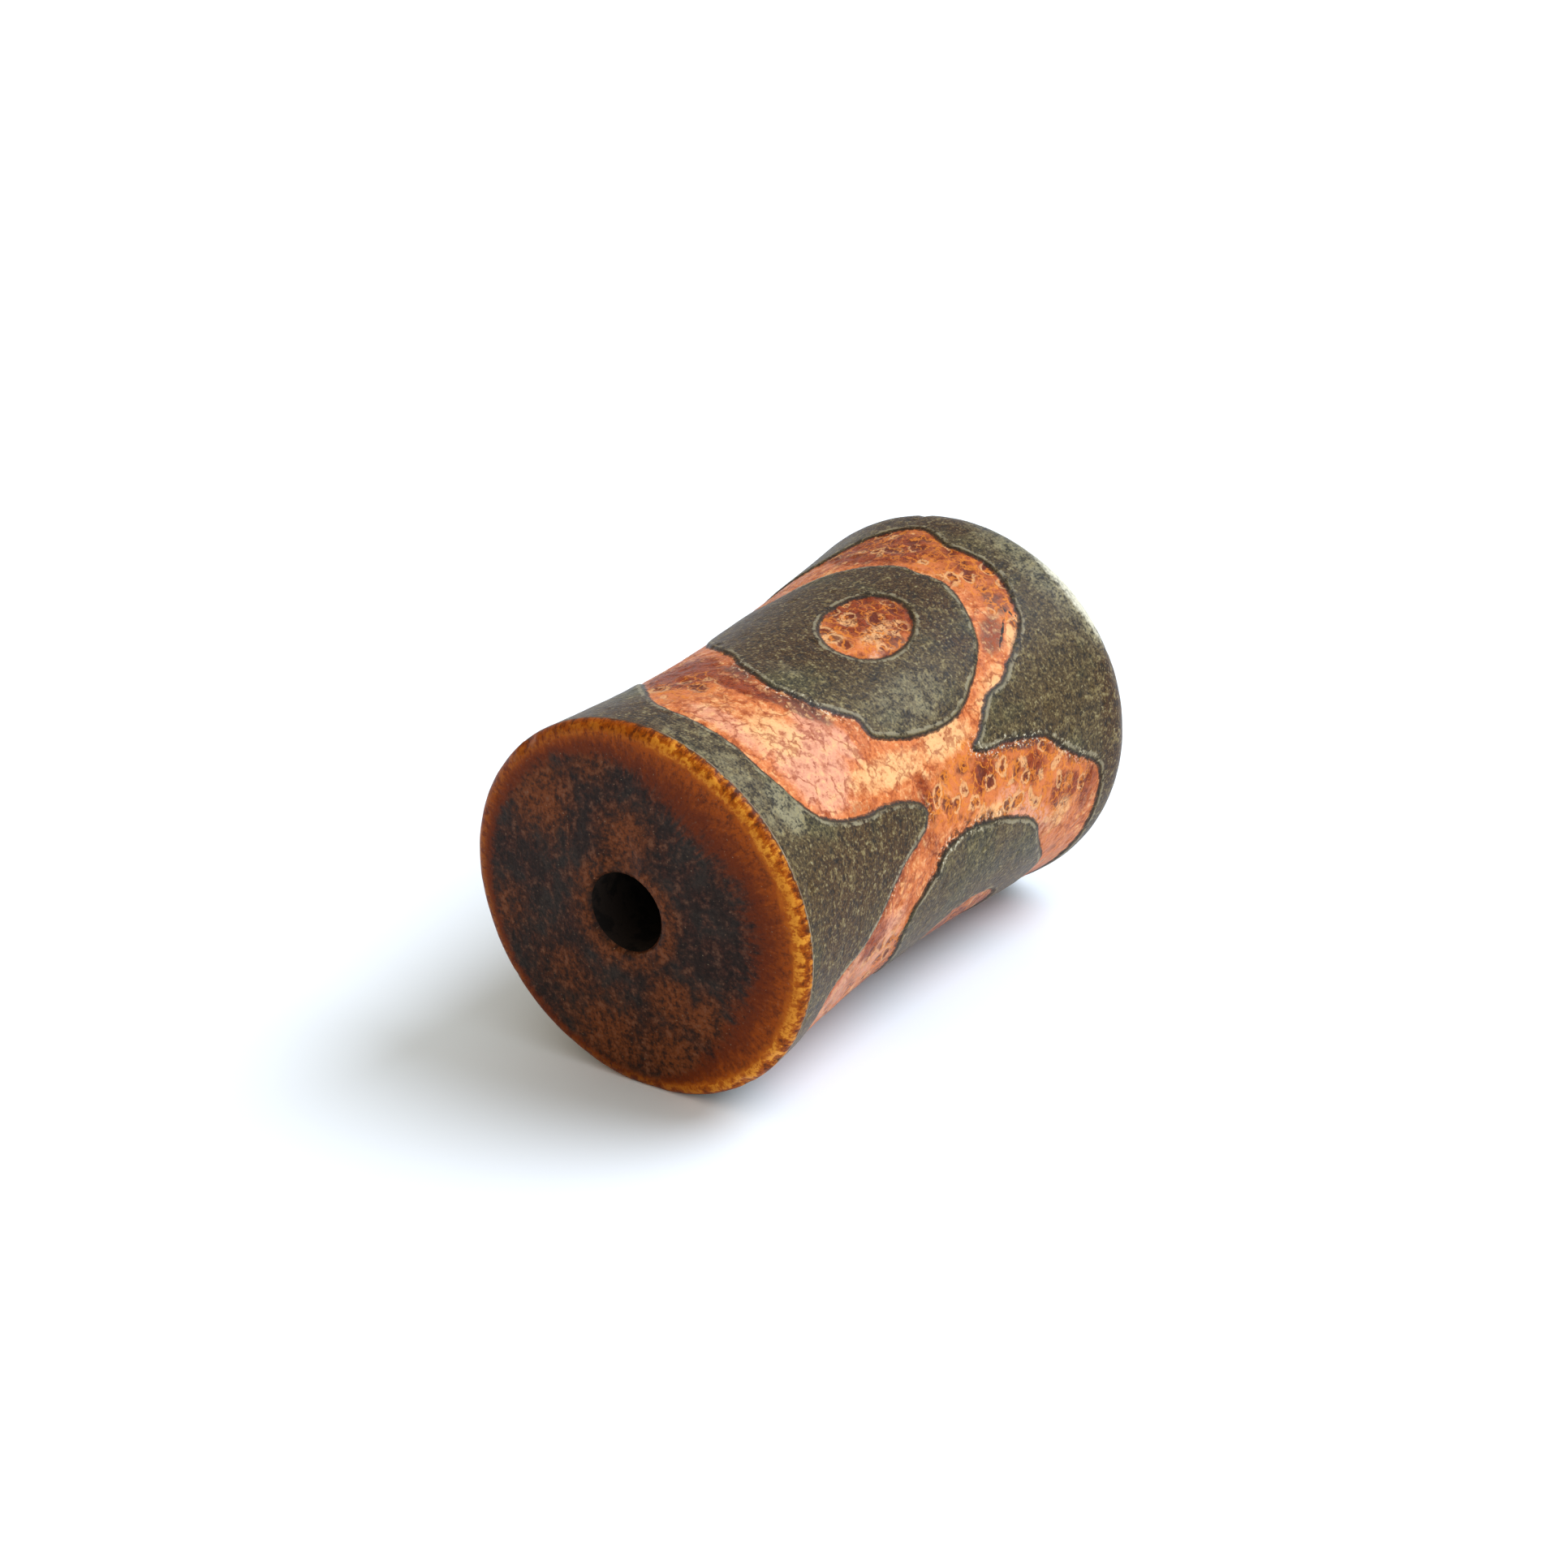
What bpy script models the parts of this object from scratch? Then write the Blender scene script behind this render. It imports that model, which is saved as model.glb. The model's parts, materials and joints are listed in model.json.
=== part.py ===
"""A drilled stone cylinder bead, waisted in the middle and lying on its side.

The bead is turned about its bore, with its smaller end towards -X and its
larger end towards +X. Both rims touch the surface it lies on, so the bore
rises a little towards the larger end. The origin is at the bottom centre.
"""

import math

import bmesh
import bpy
from mathutils import Matrix, Vector

MM = 0.001

# Body, measured along the bore from the near end
LENGTH = 19.2 * MM
NEAR_CORNER_R = 6.03 * MM
WAIST_R = 5.75 * MM
WAIST_FROM_NEAR = 6.5 * MM
FAR_CORNER_R = 6.80 * MM
NEAR_FLARE_POWER = 2.3
FAR_FLARE_POWER = 1.55
NEAR_ROUNDING_R = 0.35 * MM
FAR_ROUNDING_R = 1.30 * MM

# Bore, drilled beside the bead's own axis
BORE_R = 1.27 * MM
BORE_ASIDE = 0.38 * MM
BORE_LOW = 0.09 * MM
MOUTH_BEVEL = 0.12 * MM

# Flat spots worn under both rims
FLAT_DEPTH = 0.12 * MM

# Chips: how deep each one bites, and the ball that shapes it
RIM_CHIP_BALL_R = 1.50 * MM
RIM_CHIP_BITE = 0.10 * MM
MOUTH_CHIP_BALL_R = 2.60 * MM
MOUTH_CHIP_BITE = 0.13 * MM
MOUTH_CHIP_FROM_WALL = 0.55 * MM

# Angles about the bore, from the top towards -Y
NEAR_CHIP_ANGLES = (math.radians(128), math.radians(143), math.radians(-38))
FAR_CHIP_ANGLES = (math.radians(64), math.radians(-115))

# Mesh fineness
TURN_STEPS = 96
SIDE_STEPS = 16
NEAR_ARC_STEPS = 5
FAR_ARC_STEPS = 8
BORE_STEPS = 48
OVERRUN = 1.0 * MM
MERGE_DISTANCE = 0.0001 * MM
SHARP_ANGLE = math.radians(32)


def clear_scene():
    """Removes whatever the file opened with."""
    for thing in list(bpy.data.objects):
        bpy.data.objects.remove(thing, do_unlink=True)


def side_radius(x):
    """Radius of the waisted side, before the rims are rounded."""
    if x < WAIST_FROM_NEAR:
        share = (WAIST_FROM_NEAR - x) / WAIST_FROM_NEAR
        return WAIST_R + (NEAR_CORNER_R - WAIST_R) * share ** NEAR_FLARE_POWER
    share = (x - WAIST_FROM_NEAR) / (LENGTH - WAIST_FROM_NEAR)
    return WAIST_R + (FAR_CORNER_R - WAIST_R) * share ** FAR_FLARE_POWER


def side_slope(x):
    """Change of the side's radius along the bore."""
    step = 0.01 * MM
    low, high = max(0.0, x - step), min(LENGTH, x + step)
    return (side_radius(high) - side_radius(low)) / (high - low)


def rim_arc(x_corner, rounding_r, steps):
    """Centre and points of the arc that rounds a rim, running from -X to +X."""
    toward_middle = 1.0 if x_corner == 0.0 else -1.0
    slope = side_slope(x_corner)
    along_side = Vector((1.0, slope)).normalized() * toward_middle
    down_face = Vector((0.0, -1.0))
    half_open = along_side.angle(down_face) / 2
    reach = rounding_r / math.tan(half_open)
    corner = Vector((x_corner, side_radius(x_corner)))
    on_side = corner + along_side * reach
    on_face = corner + down_face * reach
    centre = on_face + Vector((toward_middle * rounding_r, 0.0))
    start = math.atan2(on_face.y - centre.y, on_face.x - centre.x)
    end = math.atan2(on_side.y - centre.y, on_side.x - centre.x)
    points = []
    for step in range(steps + 1):
        angle = start + (end - start) * step / steps
        ray = Vector((math.cos(angle), math.sin(angle)))
        points.append(centre + ray * rounding_r)
    return centre, points if toward_middle > 0 else points[::-1]


def body_profile():
    """Half outline of the bead, from one end of the axis to the other."""
    near_arc = rim_arc(0.0, NEAR_ROUNDING_R, NEAR_ARC_STEPS)[1]
    far_arc = rim_arc(LENGTH, FAR_ROUNDING_R, FAR_ARC_STEPS)[1]
    start, end = near_arc[-1].x, far_arc[0].x
    side = []
    for step in range(1, SIDE_STEPS):
        x = start + (end - start) * step / SIDE_STEPS
        side.append(Vector((x, side_radius(x))))
    return [Vector((0.0, 0.0)), *near_arc, *side, *far_arc, Vector((LENGTH, 0.0))]


def bore_profile():
    """Half outline of the drill, opened out by the bevel at each mouth."""
    mouth_r = BORE_R + MOUTH_BEVEL
    return [
        Vector((-OVERRUN, 0.0)),
        Vector((-OVERRUN, mouth_r + OVERRUN)),
        Vector((MOUTH_BEVEL, BORE_R)),
        Vector((LENGTH - MOUTH_BEVEL, BORE_R)),
        Vector((LENGTH + OVERRUN, mouth_r + OVERRUN)),
        Vector((LENGTH + OVERRUN, 0.0)),
    ]


def turned(name, profile, steps):
    """Spins a half outline about the X axis into a closed object."""
    bm = bmesh.new()
    rail = [bm.verts.new((point.x, 0.0, point.y)) for point in profile]
    edges = [bm.edges.new(pair) for pair in zip(rail, rail[1:])]
    bmesh.ops.spin(
        bm,
        geom=rail + edges,
        cent=(0.0, 0.0, 0.0),
        axis=(1.0, 0.0, 0.0),
        angle=2 * math.pi,
        steps=steps,
        use_merge=True,
    )
    bmesh.ops.remove_doubles(bm, verts=bm.verts, dist=MERGE_DISTANCE)
    bmesh.ops.recalc_face_normals(bm, faces=bm.faces)
    mesh = bpy.data.meshes.new(name)
    bm.to_mesh(mesh)
    bm.free()
    thing = bpy.data.objects.new(name, mesh)
    bpy.context.collection.objects.link(thing)
    return thing


def resting_tilt():
    """Angle of the bore to the surface that both rims touch."""
    near = rim_arc(0.0, NEAR_ROUNDING_R, NEAR_ARC_STEPS)[0]
    far = rim_arc(LENGTH, FAR_ROUNDING_R, FAR_ARC_STEPS)[0]
    line = far - near
    rise = math.asin((FAR_ROUNDING_R - NEAR_ROUNDING_R) / line.length)
    return math.atan2(line.y, line.x) + rise


def place_on_rims(bead):
    """Lays the bead on its rims, sunk by the flats, with its middle at x = 0."""
    tilt = resting_tilt()
    near = rim_arc(0.0, NEAR_ROUNDING_R, NEAR_ARC_STEPS)[0]
    lowest = near.x * math.sin(tilt) - near.y * math.cos(tilt) - NEAR_ROUNDING_R
    turn = Matrix.Rotation(-tilt, 3, "Y")
    reach = [(turn @ vertex.co).x for vertex in bead.data.vertices]
    bead.rotation_euler = (0.0, -tilt, 0.0)
    bead.location = (-(min(reach) + max(reach)) / 2, 0.0, -lowest - FLAT_DEPTH)


def as_cutter(cutter, bead, parented=True):
    """Hides a cutting body and takes it out of the bead."""
    cutter.hide_render = True
    cutter.display_type = "WIRE"
    if parented:
        cutter.parent = bead
    cut = bead.modifiers.new(cutter.name, "BOOLEAN")
    cut.operation = "DIFFERENCE"
    cut.solver = "EXACT"
    cut.object = cutter


def cut_bore(bead):
    """Drills the bore beside the bead's axis."""
    drill = turned("bore_cut", bore_profile(), BORE_STEPS)
    drill.location = (0.0, BORE_ASIDE, -BORE_LOW)
    as_cutter(drill, bead)


def cut_flats(bead):
    """Planes both rims flat where the bead lies."""
    bpy.ops.mesh.primitive_cube_add(size=1.0)
    slab = bpy.context.active_object
    slab.name = "flat_cut"
    depth = FAR_CORNER_R
    slab.scale = (2 * LENGTH, 4 * FAR_CORNER_R, depth)
    slab.location = (0.0, 0.0, -depth / 2)
    as_cutter(slab, bead, parented=False)


def ball_cut(bead, name, centre, radius):
    """Takes one ball-shaped chip out of the bead."""
    bpy.ops.mesh.primitive_ico_sphere_add(subdivisions=3, radius=radius)
    ball = bpy.context.active_object
    ball.name = name
    ball.location = centre
    as_cutter(ball, bead)


def cut_rim_chips(bead, side, x_corner, rounding_r, angles):
    """Chips one rim at each of the angles."""
    centre = rim_arc(x_corner, rounding_r, 1)[0]
    outward = -1.0 if x_corner == 0.0 else 1.0
    slant = Vector((outward, 1.0)).normalized()
    away = rounding_r + RIM_CHIP_BALL_R - RIM_CHIP_BITE
    spot = centre + slant * away
    for number, angle in enumerate(angles, start=1):
        place = (spot.x, -spot.y * math.sin(angle), spot.y * math.cos(angle))
        ball_cut(bead, f"{side}_chip_{number}", place, RIM_CHIP_BALL_R)


def cut_mouth_chip(bead):
    """Takes the shallow flake off the near face, above the bore."""
    above = -BORE_LOW + BORE_R + MOUTH_CHIP_FROM_WALL
    out = MOUTH_CHIP_BALL_R - MOUTH_CHIP_BITE
    ball_cut(bead, "mouth_chip", (-out, BORE_ASIDE, above), MOUTH_CHIP_BALL_R)


def stone_material():
    """Olive-grey weathered stone, dull and non-metallic."""
    material = bpy.data.materials.new("weathered_stone")
    material.use_nodes = True
    shader = material.node_tree.nodes["Principled BSDF"]
    shader.inputs["Base Color"].default_value = (0.105, 0.090, 0.066, 1.0)
    shader.inputs["Roughness"].default_value = 0.55
    shader.inputs["Metallic"].default_value = 0.0
    return material


def make_bead():
    """The bead: one turned stone with its bore, flats and chips."""
    bead = turned("bead", body_profile(), TURN_STEPS)
    bead.data.materials.append(stone_material())
    bead.data.shade_smooth()
    bead.data.set_sharp_from_angle(angle=SHARP_ANGLE)
    place_on_rims(bead)
    cut_bore(bead)
    cut_mouth_chip(bead)
    cut_rim_chips(bead, "near", 0.0, NEAR_ROUNDING_R, NEAR_CHIP_ANGLES)
    cut_rim_chips(bead, "far", LENGTH, FAR_ROUNDING_R, FAR_CHIP_ANGLES)
    cut_flats(bead)


def main():
    clear_scene()
    make_bead()


main()
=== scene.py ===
"""Dresses the etched stone cylinder bead: fine surface, finishes, floor, light and camera.

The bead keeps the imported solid's form. Its own frame runs along the bore from the
small end, in millimetres, with angles about the bore from the top towards -Y.
"""

import json
import logging
import math
from dataclasses import dataclass, field
from enum import Enum
from typing import Any

import bpy
import numpy as np
from mathutils import Matrix, Vector, noise


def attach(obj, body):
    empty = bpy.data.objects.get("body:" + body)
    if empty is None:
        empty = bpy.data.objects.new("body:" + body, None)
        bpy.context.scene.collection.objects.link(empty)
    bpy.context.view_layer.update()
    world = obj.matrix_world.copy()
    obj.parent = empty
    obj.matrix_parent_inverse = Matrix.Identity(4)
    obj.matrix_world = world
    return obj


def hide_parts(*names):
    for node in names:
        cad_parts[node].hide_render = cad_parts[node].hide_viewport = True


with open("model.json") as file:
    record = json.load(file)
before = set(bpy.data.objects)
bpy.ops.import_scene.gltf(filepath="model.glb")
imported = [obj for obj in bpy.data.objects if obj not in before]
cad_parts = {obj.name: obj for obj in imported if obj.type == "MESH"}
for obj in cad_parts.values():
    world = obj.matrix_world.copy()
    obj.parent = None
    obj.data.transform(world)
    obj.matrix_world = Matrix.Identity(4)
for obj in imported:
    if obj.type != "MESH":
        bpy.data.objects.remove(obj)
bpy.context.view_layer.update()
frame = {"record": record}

MM = 0.001
LOG = logging.getLogger("bead")

Point = tuple[float, float]
Outline = tuple[Point, ...]
Area = tuple[float, ...]


class End(Enum):
    """The two ends of the bead, by the side of the frame that they face."""

    SMALL = "small"
    LARGE = "large"


class Tone(Enum):
    """Broad areas of colour, each kept as a weight at every vertex."""

    CREAM = "cream"
    PEACH = "peach"
    RUST = "rust"
    PLUM = "plum"
    CELLS = "cells"
    CRUMBLE = "crumble"
    PALE_GROUND_AND_SHEEN = "pale_ground_and_sheen"
    BROWN_GROUND_AND_SHADE = "brown_ground_and_shade"
    RIM_SHEEN = "pale_crumb_and_rim_sheen"
    RUSTY_EDGE = "rusty_edge"
    CRACK = "crack"


def linear(colour: str) -> tuple[float, float, float, float]:
    """Turns a colour from sRGB to the linear values that a shader takes.

    Args:
        colour: The colour as "#rrggbb".

    Returns:
        Red, green, blue and a full alpha.
    """
    # The numbers below are those of the sRGB standard.
    parts = [int(colour[i : i + 2], 16) / 255 for i in (1, 3, 5)]
    turned = [p / 12.92 if p <= 0.04045 else ((p + 0.055) / 1.055) ** 2.4 for p in parts]
    return (turned[0], turned[1], turned[2], 1.0)


def soft_step(low: float, high: float, value: np.ndarray) -> np.ndarray:
    """Rises smoothly from 0 at low to 1 at high, for every value."""
    share = np.clip((value - low) / (high - low), 0.0, 1.0)
    return share * share * (3.0 - 2.0 * share)


def read(items: Any, name: str, width: int = 1, kind: type = float) -> np.ndarray:
    """Reads one property of all of a mesh's items at once.

    Args:
        items: The mesh's vertices, corners or faces.
        name: The property.
        width: How many numbers it has.
        kind: What sort of number.

    Returns:
        One number for each item, or one row where the property has more.
    """
    values = np.empty(len(items) * width, dtype=kind)
    items.foreach_get(name, values)
    return values.reshape(-1, width) if width > 1 else values


def add_node(
    tree: bpy.types.NodeTree,
    kind: str,
    settings: dict[str, Any] | None = None,
    inputs: dict[str | int, Any] | None = None,
    out: str | int = 0,
) -> bpy.types.NodeSocket | None:
    """Adds one shader node, sets it up and links it.

    Args:
        tree: The node tree that takes the node.
        kind: Blender's name for the node's type.
        settings: The node's own properties by name.
        inputs: Its inputs by name or number, each a socket to link or a value.
        out: The output that is wanted, by name or number.

    Returns:
        That output, or nothing for a node that has none.
    """
    node = tree.nodes.new(kind)
    for name, value in (settings or {}).items():
        setattr(node, name, value)
    for name, value in (inputs or {}).items():
        if isinstance(value, bpy.types.NodeSocket):
            tree.links.new(value, node.inputs[name])
        else:
            node.inputs[name].default_value = value
    return node.outputs[out] if node.outputs else None


@dataclass(frozen=True)
class StoneForm:
    """Sizes of the drilled stone in millimetres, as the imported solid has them."""

    length: float = 19.2
    small_corner_r: float = 6.03
    waist_r: float = 5.75
    waist_from_small: float = 6.5
    large_corner_r: float = 6.80
    small_flare_power: float = 2.3
    large_flare_power: float = 1.55
    small_rounding_r: float = 0.35
    large_rounding_r: float = 1.30
    bore_r: float = 1.27
    bore_aside: float = 0.38
    bore_low: float = 0.09
    mouth_bevel: float = 0.12
    rim_chip_ball_r: float = 1.50
    rim_chip_bite: float = 0.10
    mouth_chip_ball_r: float = 2.60
    mouth_chip_bite: float = 0.13
    mouth_chip_from_wall: float = 0.55
    small_chip_angles: tuple[float, ...] = (128.0, 143.0, -38.0)
    large_chip_angles: tuple[float, ...] = (64.0, -115.0)
    slope_step: float = 0.01

    def side_radius(self, x: float) -> float:
        """Gives the waisted side's radius.

        Args:
            x: Millimetres from the small end.

        Returns:
            Millimetres from the axis.
        """
        if x < self.waist_from_small:
            share = (self.waist_from_small - x) / self.waist_from_small
            flare = self.small_corner_r - self.waist_r
            return self.waist_r + flare * share**self.small_flare_power
        share = (x - self.waist_from_small) / (self.length - self.waist_from_small)
        return self.waist_r + (self.large_corner_r - self.waist_r) * share**self.large_flare_power

    def rim_round(self, end: End) -> tuple[Vector, Vector, Vector, float]:
        """Finds the circle that rounds a rim, tangent to its side and its face.

        Args:
            end: Which end's rim.

        Returns:
            The circle's middle, where it meets the face and the side, and its radius.
        """
        small = end is End.SMALL
        corner_x = 0.0 if small else self.length
        radius = self.small_rounding_r if small else self.large_rounding_r
        inward = 1.0 if small else -1.0
        nudge = corner_x + inward * self.slope_step
        slope = (self.side_radius(nudge) - self.side_radius(corner_x)) / (nudge - corner_x)
        corner = Vector((corner_x, self.side_radius(corner_x)))
        along = Vector((1.0, slope)).normalized() * inward
        down = Vector((0.0, -1.0))
        reach = radius / math.tan(along.angle(down) / 2)
        on_side, on_face = corner + along * reach, corner + down * reach
        return on_face + Vector((inward * radius, 0.0)), on_face, on_side, radius

    def rim_arc(self, end: End, steps: int) -> list[Point]:
        """Draws the arc that rounds a rim.

        Args:
            end: Which end's rim.
            steps: Number of stretches in the arc.

        Returns:
            Places along and away from the bore, from the small end to the large.
        """
        centre, on_face, on_side, radius = self.rim_round(end)
        start = math.atan2(on_face.y - centre.y, on_face.x - centre.x)
        stop = math.atan2(on_side.y - centre.y, on_side.x - centre.x)
        if abs(stop - start) > math.pi:
            start -= math.copysign(math.tau, start)
        arc = []
        for step in range(steps + 1):
            angle = start + (stop - start) * step / steps
            arc.append((centre.x + radius * math.cos(angle), centre.y + radius * math.sin(angle)))
        return arc if end is End.SMALL else arc[::-1]

    def chips(self) -> list[tuple[Vector, float]]:
        """Places the balls that bite the rims and the bore's mouth, as the solid has them.

        Returns:
            Each ball's middle and radius.
        """
        balls = []
        for end, outward, angles in (
            (End.SMALL, -1.0, self.small_chip_angles),
            (End.LARGE, 1.0, self.large_chip_angles),
        ):
            centre, _, _, radius = self.rim_round(end)
            reach = (radius + self.rim_chip_ball_r - self.rim_chip_bite) / math.sqrt(2.0)
            for angle in angles:
                turn, away = math.radians(angle), centre.y + reach
                middle = (centre.x + outward * reach, -away * math.sin(turn), away * math.cos(turn))
                balls.append((Vector(middle), self.rim_chip_ball_r))
        up = self.bore_r - self.bore_low + self.mouth_chip_from_wall
        low = self.mouth_chip_bite - self.mouth_chip_ball_r
        balls.append((Vector((low, self.bore_aside, up)), self.mouth_chip_ball_r))
        return balls


@dataclass(frozen=True)
class Patch:
    """One soft-edged oval: its middle, half sizes, turn and strength."""

    around: float
    along: float
    half_across: float
    half_along: float
    turn: float = 0.0
    strength: float = 1.0


@dataclass(frozen=True)
class EtchedDrawing:
    """The etched pattern, drawn flat: degrees around and millimetres along the stone."""

    mean_r: float = 5.95
    seam: float = -116.0
    curve_steps: int = 5
    reach: float = 2.5
    # Where a patch starts to fade and where it ends, by its oval's own size.
    patch_fade: Point = (0.45, 1.45)
    band: Outline = (
        (-58.0, 10.2), (-56.0, 8.4), (-50.0, 6.9), (-42.0, 5.8), (-34.0, 5.04), (-27.0, 4.44),
        (-18.3, 3.52), (-10.0, 2.64), (-1.7, 2.02), (8.0, 1.83), (18.3, 1.80), (28.0, 1.82),
        (35.8, 1.78), (44.2, 1.98), (52.5, 2.30), (58.3, 2.84), (62.0, 3.62), (64.6, 4.54),
        (65.4, 5.46), (67.5, 6.33), (70.4, 7.06), (74.6, 7.44), (79.2, 7.25), (82.0, 6.66),
        (85.0, 5.94), (88.3, 5.36), (94.2, 4.68), (99.2, 4.10), (103.5, 3.48), (106.5, 2.52),
        (111.7, 1.80), (125.0, 1.53), (140.0, 1.62), (155.0, 2.16), (168.0, 3.3), (178.0, 5.1),
        (184.0, 7.8), (186.0, 10.5), (184.0, 13.2), (178.0, 15.3), (165.0, 16.7), (150.0, 17.2),
        (130.0, 17.34), (111.7, 17.22), (99.2, 17.04), (92.5, 16.56), (87.5, 15.66), (82.9, 14.9),
        (75.8, 13.98), (73.3, 13.16), (70.4, 12.1), (69.8, 11.28), (66.8, 10.45), (62.9, 11.08),
        (58.75, 11.56), (55.2, 12.18), (54.2, 13.08), (50.8, 13.74), (47.9, 14.4), (43.4, 15.3),
        (38.0, 15.69), (29.7, 16.26), (20.5, 16.44), (10.0, 16.36), (4.7, 16.64), (-2.0, 17.04),
        (-9.5, 16.89), (-19.5, 16.14), (-28.7, 14.82), (-40.0, 14.16), (-50.0, 13.2), (-56.0, 11.88),
    )
    first_ground: Outline = (
        (-22.5, 7.5), (-14.2, 6.9), (-5.8, 6.38), (0.8, 5.84), (7.5, 5.56), (15.0, 5.34),
        (23.3, 5.56), (29.2, 5.75), (35.0, 6.24), (40.0, 6.63), (44.2, 6.62), (47.5, 6.81),
        (51.25, 7.59), (54.2, 8.56), (55.8, 9.72), (55.0, 10.64), (51.3, 11.52), (47.2, 12.3),
        (42.2, 13.06), (36.75, 13.55), (30.5, 13.94), (24.7, 14.26), (18.0, 14.46), (11.3, 14.32),
        (4.7, 14.37), (-2.0, 14.08), (-7.8, 13.74), (-16.0, 13.11), (-22.0, 12.3), (-27.0, 11.4),
        (-33.0, 11.1), (-37.0, 10.32), (-37.0, 9.36), (-32.0, 8.4),
    )
    second_ground: Outline = (
        (88.9, 9.36), (89.4, 8.64), (91.4, 7.98), (96.0, 7.68), (99.6, 7.2), (105.0, 6.52),
        (113.3, 6.24), (125.0, 6.54), (136.0, 6.84), (146.0, 7.44), (153.0, 8.52), (157.0, 10.2),
        (156.0, 12.0), (151.0, 13.5), (143.0, 14.58), (133.0, 15.12), (125.0, 15.18),
        (118.0, 14.64), (110.8, 13.98), (103.3, 13.5), (98.3, 12.87), (94.3, 11.9), (91.8, 11.04),
        (90.6, 10.45), (89.3, 9.9),
    )
    dots: tuple[Patch, ...] = (
        Patch(15.5, 10.5, 1.40, 1.93, -9.0),
        Patch(136.5, 10.9, 1.55, 2.40, 6.0),
    )

    def smooth(self, outline: Outline) -> np.ndarray:
        """Rounds an outline through its points.

        Args:
            outline: Corner points in degrees and millimetres.

        Returns:
            Points of the closed curve, both ways in millimetres.
        """
        corners = np.array(outline) * (math.radians(1.0) * self.mean_r, 1.0)
        before, after = np.roll(corners, 1, 0), np.roll(corners, -1, 0)
        later = np.roll(corners, -2, 0)
        curve = []
        for step in range(self.curve_steps):
            t = step / self.curve_steps
            # A cubic that passes through every corner, in powers of t.
            curve.append(
                0.5
                * (
                    2 * corners
                    + (after - before) * t
                    + (2 * before - 5 * corners + 4 * after - later) * t**2
                    + (3 * corners - before - 3 * after + later) * t**3
                )
            )
        return np.stack(curve, 1).reshape(-1, 2)

    def flat(self, around: np.ndarray, along: np.ndarray) -> np.ndarray:
        """Lays places on the stone flat, in millimetres, cut open on the plain side."""
        turned = (around - self.seam) % 360.0 + self.seam
        return np.stack([np.radians(turned) * self.mean_r, along], 1)

    def inside(self, places: np.ndarray, outline: Outline) -> np.ndarray:
        """Measures how far inside a closed outline each place is.

        Args:
            places: Flat places in millimetres.
            outline: The outline's corner points.

        Returns:
            Millimetres to the outline, negative outside it.
        """
        start = self.smooth(outline)
        step = np.roll(start, -1, 0) - start
        length = (step**2).sum(1)
        nearest = np.full(len(places), np.inf)
        crossings = np.zeros(len(places), dtype=int)
        for (sx, sy), (dx, dy), square in zip(start, step, length):
            px, py = places[:, 0] - sx, places[:, 1] - sy
            share = np.clip((px * dx + py * dy) / square, 0.0, 1.0)
            nearest = np.minimum(nearest, (px - share * dx) ** 2 + (py - share * dy) ** 2)
            spans = (py < 0) != (py < dy)
            if dy != 0.0:
                crossings += spans & (px < py * dx / dy)
        sign = np.where(crossings % 2 == 1, 1.0, -1.0)
        return sign * np.minimum(np.sqrt(nearest), self.reach)

    def oval(self, places: np.ndarray, patch: Patch) -> np.ndarray:
        """Measures how far each place is from a patch's middle.

        Args:
            places: Flat places in millimetres.
            patch: The patch.

        Returns:
            The distance by the oval's own size, 1 on the oval itself.
        """
        turn = math.radians(patch.turn)
        middle = self.flat(np.array([patch.around]), np.array([patch.along]))[0]
        gap = places - middle
        across = gap[:, 0] * math.cos(turn) - gap[:, 1] * math.sin(turn)
        down = gap[:, 0] * math.sin(turn) + gap[:, 1] * math.cos(turn)
        return np.hypot(across / patch.half_across, down / patch.half_along)

    def etched(self, places: np.ndarray) -> np.ndarray:
        """Measures how far inside the etched bands and dots each place is.

        Args:
            places: Flat places in millimetres.

        Returns:
            Millimetres to the border, negative on the ground.
        """
        bands = np.minimum(self.inside(places, self.band), -self.inside(places, self.first_ground))
        bands = np.minimum(bands, -self.inside(places, self.second_ground))
        for dot in self.dots:
            mean = math.sqrt(dot.half_across * dot.half_along)
            bands = np.maximum(bands, (1.0 - self.oval(places, dot)) * mean)
        return bands

    def weight(self, places: np.ndarray, areas: tuple[Area, ...]) -> np.ndarray:
        """Works out how strong a tone is from its soft ovals.

        Args:
            places: Flat places in millimetres.
            areas: The tone's ovals, each with a patch's numbers in order.

        Returns:
            The tone's weight at each place, from 0 to 1.
        """
        total = np.zeros(len(places))
        for patch in (Patch(*area) for area in areas):
            soft = 1.0 - soft_step(*self.patch_fade, self.oval(places, patch))
            total = np.maximum(total, patch.strength * soft)
        return total


MIX = {"data_type": "RGBA"}
SOFT = {"interpolation_type": "SMOOTHSTEP"}
ADD_UP = {"operation": "MULTIPLY_ADD"}
Patterns = dict[str, bpy.types.NodeSocket]


@dataclass(frozen=True)
class Speck:
    """A random pattern: its name, its size in millimetres, its detail and roughness."""

    name: str
    size_mm: float
    detail: float
    rough: float


@dataclass(frozen=True)
class Share:
    """A part from 0 to 1: how far a weighted sum of patterns lies between two levels."""

    weights: dict[str, float]
    low: float
    high: float
    top: float = 1.0
    only: tuple[str, ...] = ()
    start: float = 0.0
    fold: bool = False


Coat = tuple[str, Share]


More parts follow.
